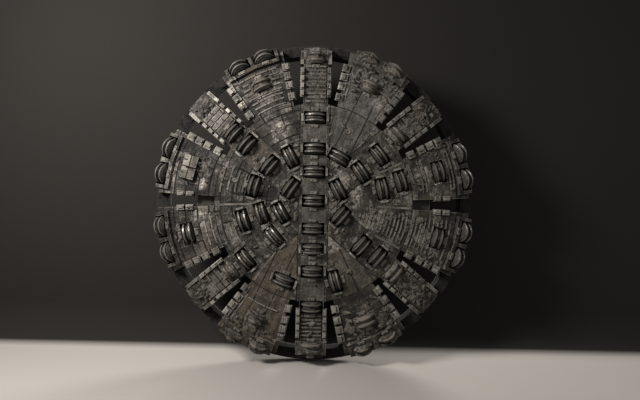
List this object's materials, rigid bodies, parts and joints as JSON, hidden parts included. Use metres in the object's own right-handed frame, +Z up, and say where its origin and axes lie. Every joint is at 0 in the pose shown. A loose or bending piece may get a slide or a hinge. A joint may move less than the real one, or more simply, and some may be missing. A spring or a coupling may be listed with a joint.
{
  "type": "tunnel boring machine cutterhead",
  "caption": "Rotating soil and rock cutterhead of a tunnel boring machine, with rolling twin-ring disc cutters, edge scrapers, spoil openings, a rim and a bolted drive flange.",
  "frame": {"origin": "centre of the drive flange's back face, on the head's rotation axis", "axes": "+Y is the rotation axis and points back into the machine; the cutting face looks towards -Y; +Z is up and +X is to the right for someone who looks at the face"},
  "size_m": [6.5, 1.69, 6.5],
  "materials": {
    "face_steel": "worn bare steel under dried clay",
    "plate_steel": "worn bare steel under dried clay",
    "rim_steel": "clay-covered steel",
    "back_steel": "rusted primer and clay",
    "cutter_steel": "polished tool steel, muddy at the root",
    "clogged_steel": "tool steel packed with clay",
    "saddle_steel": "dark greasy cast steel",
    "scraper_steel": "bright worn edges",
    "hard_facing": "hard-faced weld bars",
    "pipe_steel": "rusted pipe"
  },
  "bodies": {
    "head": {"drive_flange": "back_steel", "support_legs": "back_steel", "back_ring": "back_steel", "spine_beam": "face_steel", "slanted_spokes": "face_steel", "inner_plates": "plate_steel", "outer_plates": "plate_steel", "rim_ring": "rim_steel", "cutter_shafts": "saddle_steel", "cutter_saddles": "saddle_steel", "clogged_cutters": "clogged_steel", "edge_scrapers": "scraper_steel", "wear_bars": "hard_facing", "joint_strips": "hard_facing", "feed_column": "back_steel", "foam_pipes": "pipe_steel", "mixing_bars": "back_steel"},
    "disc_01": {"disc_cutter_01": "cutter_steel"},
    "disc_02": {"disc_cutter_02": "cutter_steel"},
    "disc_03": {"disc_cutter_03": "cutter_steel"},
    "disc_04": {"disc_cutter_04": "cutter_steel"},
    "disc_05": {"disc_cutter_05": "cutter_steel"},
    "disc_06": {"disc_cutter_06": "cutter_steel"},
    "disc_07": {"disc_cutter_07": "cutter_steel"},
    "disc_08": {"disc_cutter_08": "cutter_steel"},
    "disc_09": {"disc_cutter_09": "cutter_steel"},
    "disc_10": {"disc_cutter_10": "cutter_steel"},
    "disc_11": {"disc_cutter_11": "cutter_steel"},
    "disc_12": {"disc_cutter_12": "cutter_steel"},
    "disc_13": {"disc_cutter_13": "cutter_steel"},
    "disc_14": {"disc_cutter_14": "cutter_steel"},
    "disc_15": {"disc_cutter_15": "cutter_steel"},
    "disc_16": {"disc_cutter_16": "cutter_steel"},
    "disc_17": {"disc_cutter_17": "cutter_steel"},
    "disc_18": {"disc_cutter_18": "cutter_steel"},
    "disc_19": {"disc_cutter_19": "cutter_steel"},
    "disc_20": {"disc_cutter_20": "cutter_steel"},
    "disc_21": {"disc_cutter_21": "cutter_steel"},
    "disc_22": {"disc_cutter_22": "cutter_steel"},
    "disc_23": {"disc_cutter_23": "cutter_steel"},
    "disc_24": {"disc_cutter_24": "cutter_steel"},
    "disc_25": {"disc_cutter_25": "cutter_steel"},
    "disc_26": {"disc_cutter_26": "cutter_steel"},
    "disc_27": {"disc_cutter_27": "cutter_steel"},
    "disc_28": {"disc_cutter_28": "cutter_steel"},
    "disc_29": {"disc_cutter_29": "cutter_steel"},
    "disc_30": {"disc_cutter_30": "cutter_steel"},
    "disc_31": {"disc_cutter_31": "cutter_steel"},
    "disc_32": {"disc_cutter_32": "cutter_steel"},
    "disc_33": {"disc_cutter_33": "cutter_steel"},
    "disc_34": {"disc_cutter_34": "cutter_steel"},
    "disc_35": {"disc_cutter_35": "cutter_steel"},
    "disc_36": {"disc_cutter_36": "cutter_steel"},
    "disc_37": {"disc_cutter_37": "cutter_steel"},
    "disc_38": {"disc_cutter_38": "cutter_steel"},
    "disc_39": {"disc_cutter_39": "cutter_steel"},
    "disc_40": {"disc_cutter_40": "cutter_steel"},
    "disc_41": {"disc_cutter_41": "cutter_steel"},
    "disc_42": {"disc_cutter_42": "cutter_steel"},
    "disc_43": {"disc_cutter_43": "cutter_steel"}
  },
  "joints": [
    {"name": "disc_01_roll", "type": "hinge", "parent": "head", "child": "disc_01", "pos_m": [0, -1.474, 0.04], "axis": [0, 0, 1], "continuous": true},
    {"name": "disc_02_roll", "type": "hinge", "parent": "head", "child": "disc_02", "pos_m": [0, -1.474, 0.628], "axis": [0, 0, 1], "continuous": true},
    {"name": "disc_03_roll", "type": "hinge", "parent": "head", "child": "disc_03", "pos_m": [0, -1.474, 1.094], "axis": [0, 0, 1], "continuous": true},
    {"name": "disc_04_roll", "type": "hinge", "parent": "head", "child": "disc_04", "pos_m": [0, -1.474, 1.721], "axis": [0, 0, 1], "continuous": true},
    {"name": "disc_05_roll", "type": "hinge", "parent": "head", "child": "disc_05", "pos_m": [0, -1.474, -0.527], "axis": [0, 0, -1], "continuous": true},
    {"name": "disc_06_roll", "type": "hinge", "parent": "head", "child": "disc_06", "pos_m": [0, -1.474, -0.942], "axis": [0, 0, -1], "continuous": true},
    {"name": "disc_07_roll", "type": "hinge", "parent": "head", "child": "disc_07", "pos_m": [0, -1.474, -1.387], "axis": [0, 0, -1], "continuous": true},
    {"name": "disc_08_roll", "type": "hinge", "parent": "head", "child": "disc_08", "pos_m": [0, -1.474, -2.106], "axis": [0, 0, -1], "continuous": true},
    {"name": "disc_09_roll", "type": "hinge", "parent": "head", "child": "disc_09", "pos_m": [-0.47573, -1.474, 0.28585], "axis": [-0.829, 0, 0.5592], "continuous": true},
    {"name": "disc_10_roll", "type": "hinge", "parent": "head", "child": "disc_10", "pos_m": [-0.90149, -1.474, 0.73001], "axis": [-0.7771, 0, 0.6293], "continuous": true},
    {"name": "disc_11_roll", "type": "hinge", "parent": "head", "child": "disc_11", "pos_m": [-1.36509, -1.474, 1.14545], "axis": [-0.766, 0, 0.6428], "continuous": true},
    {"name": "disc_12_roll", "type": "hinge", "parent": "head", "child": "disc_12", "pos_m": [-1.6447, -1.474, 1.38007], "axis": [-0.766, 0, 0.6428], "continuous": true},
    {"name": "disc_13_roll", "type": "hinge", "parent": "head", "child": "disc_13", "pos_m": [0.49533, -1.474, 0.26337], "axis": [0.8829, 0, 0.4695], "continuous": true},
    {"name": "disc_14_roll", "type": "hinge", "parent": "head", "child": "disc_14", "pos_m": [0.94013, -1.474, 0.63413], "axis": [0.829, 0, 0.5592], "continuous": true},
    {"name": "disc_15_roll", "type": "hinge", "parent": "head", "child": "disc_15", "pos_m": [1.30976, -1.474, 0.98698], "axis": [0.7986, 0, 0.6018], "continuous": true},
    {"name": "disc_16_roll", "type": "hinge", "parent": "head", "child": "disc_16", "pos_m": [-0.65623, -1.474, -0.21322], "axis": [-0.866, 0, -0.5], "continuous": true},
    {"name": "disc_17_roll", "type": "hinge", "parent": "head", "child": "disc_17", "pos_m": [-0.77891, -1.474, -0.68912], "axis": [-0.749, 0, -0.6626], "continuous": true},
    {"name": "disc_18_roll", "type": "hinge", "parent": "head", "child": "disc_18", "pos_m": [-1.34489, -1.474, -1.1691], "axis": [-0.7547, 0, -0.6561], "continuous": true},
    {"name": "disc_19_roll", "type": "hinge", "parent": "head", "child": "disc_19", "pos_m": [0.55104, -1.474, -0.25695], "axis": [0.766, 0, -0.6428], "continuous": true},
    {"name": "disc_20_roll", "type": "hinge", "parent": "head", "child": "disc_20", "pos_m": [0.9781, -1.474, -0.85025], "axis": [0.7547, 0, -0.6561], "continuous": true},
    {"name": "disc_21_roll", "type": "hinge", "parent": "head", "child": "disc_21", "pos_m": [1.30669, -1.474, -1.07333], "axis": [0.7727, 0, -0.6347], "continuous": true},
    {"name": "disc_22_roll", "type": "hinge", "parent": "head", "child": "disc_22", "pos_m": [-1.21019, -1.474, 0.31298], "axis": [-0.9681, 0, 0.2504], "continuous": true},
    {"name": "disc_23_roll", "type": "hinge", "parent": "head", "child": "disc_23", "pos_m": [-1.04464, -1.474, -0.23159], "axis": [-0.9455, 0, -0.3256], "continuous": true},
    {"name": "disc_24_roll", "type": "hinge", "parent": "head", "child": "disc_24", "pos_m": [-1.40633, -1.474, -0.38473], "axis": [-0.9511, 0, -0.309], "continuous": true},
    {"name": "disc_25_roll", "type": "hinge", "parent": "head", "child": "disc_25", "pos_m": [1.38394, -1.474, 0.30428], "axis": [0.9767, 0, 0.2147], "continuous": true},
    {"name": "disc_26_roll", "type": "hinge", "parent": "head", "child": "disc_26", "pos_m": [1.75107, -1.474, 0.46592], "axis": [0.9563, 0, 0.2924], "continuous": true},
    {"name": "disc_27_roll", "type": "hinge", "parent": "head", "child": "disc_27", "pos_m": [0.5034, -1.474, 0.92715], "axis": [0.4772, 0, 0.8788], "continuous": true},
    {"name": "disc_28_roll", "type": "hinge", "parent": "head", "child": "disc_28", "pos_m": [-0.4859, -1.474, 0.91385], "axis": [-0.8829, 0, -0.4695], "continuous": true},
    {"name": "disc_29_roll", "type": "hinge", "parent": "head", "child": "disc_29", "pos_m": [-0.57494, -1.474, -1.57962], "axis": [-0.342, 0, -0.9397], "continuous": true},
    {"name": "disc_30_roll", "type": "hinge", "parent": "head", "child": "disc_30", "pos_m": [0.46304, -1.474, -1.57327], "axis": [-0.9593, 0, -0.2823], "continuous": true},
    {"name": "disc_31_roll", "type": "hinge", "parent": "head", "child": "disc_31", "pos_m": [2.51141, -1.474, 0.67293], "axis": [0.9659, 0, 0.2588], "continuous": true},
    {"name": "disc_32_roll", "type": "hinge", "parent": "head", "child": "disc_32", "pos_m": [-2.51141, -1.474, -0.67293], "axis": [-0.9659, 0, -0.2588], "continuous": true},
    {"name": "disc_33_roll", "type": "hinge", "parent": "head", "child": "disc_33", "pos_m": [2.51141, -1.474, -0.67293], "axis": [0.9659, 0, -0.2588], "continuous": true},
    {"name": "disc_34_roll", "type": "hinge", "parent": "head", "child": "disc_34", "pos_m": [3.04109, -1.415, 0.53623], "axis": [0.8529, 0.5, 0.1504], "continuous": true},
    {"name": "disc_35_roll", "type": "hinge", "parent": "head", "child": "disc_35", "pos_m": [2.90177, -1.415, 1.05616], "axis": [0.8138, 0.5, 0.2962], "continuous": true},
    {"name": "disc_36_roll", "type": "hinge", "parent": "head", "child": "disc_36", "pos_m": [-1.05616, -1.415, 2.90177], "axis": [-0.2962, 0.5, 0.8138], "continuous": true},
    {"name": "disc_37_roll", "type": "hinge", "parent": "head", "child": "disc_37", "pos_m": [-1.544, -1.415, 2.67429], "axis": [-0.433, 0.5, 0.75], "continuous": true},
    {"name": "disc_38_roll", "type": "hinge", "parent": "head", "child": "disc_38", "pos_m": [-2.90177, -1.415, 1.05616], "axis": [-0.8138, 0.5, 0.2962], "continuous": true},
    {"name": "disc_39_roll", "type": "hinge", "parent": "head", "child": "disc_39", "pos_m": [-3.04109, -1.415, 0.53623], "axis": [-0.8529, 0.5, 0.1504], "continuous": true},
    {"name": "disc_40_roll", "type": "hinge", "parent": "head", "child": "disc_40", "pos_m": [-3.04109, -1.415, -0.53623], "axis": [-0.8529, 0.5, -0.1504], "continuous": true},
    {"name": "disc_41_roll", "type": "hinge", "parent": "head", "child": "disc_41", "pos_m": [-2.90177, -1.415, -1.05616], "axis": [-0.8138, 0.5, -0.2962], "continuous": true},
    {"name": "disc_42_roll", "type": "hinge", "parent": "head", "child": "disc_42", "pos_m": [2.90177, -1.415, -1.05616], "axis": [0.8138, 0.5, -0.2962], "continuous": true},
    {"name": "disc_43_roll", "type": "hinge", "parent": "head", "child": "disc_43", "pos_m": [3.04109, -1.415, -0.53623], "axis": [0.8529, 0.5, -0.1504], "continuous": true}
  ]
}
